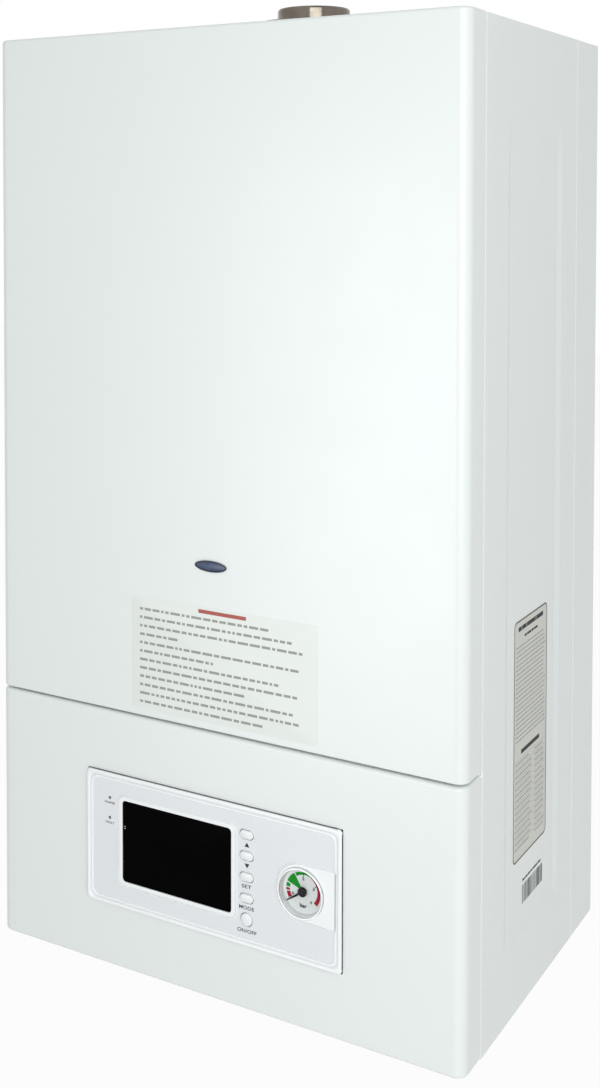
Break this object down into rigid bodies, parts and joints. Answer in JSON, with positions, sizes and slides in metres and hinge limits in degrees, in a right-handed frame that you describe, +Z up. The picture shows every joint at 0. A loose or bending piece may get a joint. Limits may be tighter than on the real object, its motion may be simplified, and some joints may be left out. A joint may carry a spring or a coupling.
{
  "type": "combi boiler",
  "caption": "Wall-hung gas combi boiler: white casing with a lift-off front, a drop-down control panel, fan flue, burner, pump and water circuit inside.",
  "frame": {"origin": "centre of the wall bracket's back face, in the plane of the wall", "axes": "+X to the right seen from the front, +Y into the wall, +Z up"},
  "size_m": [0.4, 0.285, 0.7875],
  "materials": {
    "white_enamel": "smooth satin white powder coat",
    "white_plastic": "fine satin white plastic with a slightly cool tint",
    "button_plastic": "satin white button caps",
    "display_glass": "glossy black window",
    "blue_glass": "glossy dark blue lens",
    "lamp_plastic": "small dark lamp lenses",
    "gauge_metal": "satin grey metal ring",
    "dial_white": "printed white dial",
    "clear_glass": "clear flat lens",
    "grey_plastic": "dark grey moulded plastic",
    "black_plastic": "black moulded plastic",
    "red_plastic": "red moulded plastic",
    "green_board": "green circuit board",
    "zinc_steel": "zinc-plated sheet steel",
    "flue_nickel": "polished grey-brown steel",
    "cast_aluminium": "cast and pressed aluminium",
    "copper": "drawn copper",
    "brass": "forged and turned brass",
    "red_enamel": "red enamel",
    "ceramic": "glazed ceramic"
  },
  "bodies": {
    "root": {"rear_frame": "white_enamel", "wall_bracket": "zinc_steel", "left_side_panel": "white_enamel", "right_side_panel": "white_enamel", "top_panel": "white_enamel", "bottom_panel": "white_enamel", "left_hinge_bracket": "zinc_steel", "right_hinge_bracket": "zinc_steel", "flue_spigot": "flue_nickel", "air_intake_collar": "flue_nickel", "fan_housing": "cast_aluminium", "fan_motor": "black_plastic", "flue_hood": "cast_aluminium", "heat_exchanger": "copper", "combustion_chamber": "zinc_steel", "burner": "cast_aluminium", "gas_manifold": "brass", "ignition_electrode": "ceramic", "gas_valve": "cast_aluminium", "gas_pipe": "cast_aluminium", "air_pressure_switch": "black_plastic", "heating_flow_stub": "brass", "hot_water_stub": "brass", "gas_stub": "brass", "cold_water_stub": "brass", "heating_return_stub": "brass", "flow_block": "brass", "return_block": "brass", "plate_heat_exchanger": "zinc_steel", "diverter_motor": "white_plastic", "pump_body": "brass", "pump_motor": "red_enamel", "air_vent": "brass", "expansion_vessel": "red_enamel", "vessel_pipe": "copper", "flow_pipe": "copper", "return_pipe": "copper", "cable_gland": "black_plastic"},
    "cover": {"front_cover": "white_enamel", "sight_glass": "blue_glass"},
    "control_flap": {"control_fascia": "white_enamel", "control_bezel": "white_plastic", "display_window": "display_glass", "power_lamp": "lamp_plastic", "fault_lamp": "lamp_plastic", "gauge_case": "gauge_metal", "gauge_dial": "dial_white", "gauge_lens": "clear_glass", "control_box": "grey_plastic", "control_board": "green_board"},
    "up_button": {"button_up": "button_plastic"},
    "down_button": {"button_down": "button_plastic"},
    "set_button": {"button_set": "button_plastic"},
    "mode_button": {"button_mode": "button_plastic"},
    "on_off_button": {"button_on_off": "button_plastic"},
    "needle": {"gauge_needle": "black_plastic"},
    "impeller": {"fan_impeller": "zinc_steel"},
    "rotor": {"pump_rotor": "black_plastic"},
    "filling_tap": {"filling_knob": "black_plastic"},
    "relief_valve": {"relief_knob": "red_plastic"}
  },
  "joints": [
    {"name": "cover_lift", "type": "slide", "parent": "root", "child": "cover", "axis": [0, 0, 1], "range_m": [0, 0.53]},
    {"name": "panel_drop", "type": "hinge", "parent": "root", "child": "control_flap", "pos_m": [0, -0.262, -0.664], "axis": [1, 0, 0], "range_deg": [0, 90]},
    {"name": "press_up", "type": "slide", "parent": "control_flap", "child": "up_button", "axis": [0, 1, 0], "range_m": [0, 0.001], "stiffness_N_per_m": 300},
    {"name": "press_down", "type": "slide", "parent": "control_flap", "child": "down_button", "axis": [0, 1, 0], "range_m": [0, 0.001], "stiffness_N_per_m": 300},
    {"name": "press_set", "type": "slide", "parent": "control_flap", "child": "set_button", "axis": [0, 1, 0], "range_m": [0, 0.001], "stiffness_N_per_m": 300},
    {"name": "press_mode", "type": "slide", "parent": "control_flap", "child": "mode_button", "axis": [0, 1, 0], "range_m": [0, 0.001], "stiffness_N_per_m": 300},
    {"name": "press_on_off", "type": "slide", "parent": "control_flap", "child": "on_off_button", "axis": [0, 1, 0], "range_m": [0, 0.001], "stiffness_N_per_m": 300},
    {"name": "needle_turn", "type": "hinge", "parent": "control_flap", "child": "needle", "pos_m": [0.0772, -0.27, -0.57], "axis": [0, 1, 0], "range_deg": [0, 249], "stiffness_Nm_per_rad": 0.0005},
    {"name": "fan_spin", "type": "hinge", "parent": "root", "child": "impeller", "pos_m": [-0.03, -0.12, -0.07], "axis": [0, 1, 0], "continuous": true},
    {"name": "pump_spin", "type": "hinge", "parent": "root", "child": "rotor", "pos_m": [0.13, -0.1, -0.52], "axis": [0, 1, 0], "continuous": true},
    {"name": "filling_turn", "type": "hinge", "parent": "root", "child": "filling_tap", "pos_m": [0.0975, -0.1, -0.7], "axis": [0, 0, 1], "range_deg": [0, 270]},
    {"name": "relief_turn", "type": "hinge", "parent": "root", "child": "relief_valve", "pos_m": [0.128, -0.15, -0.6], "axis": [0, 1, 0], "range_deg": [0, 90]}
  ]
}
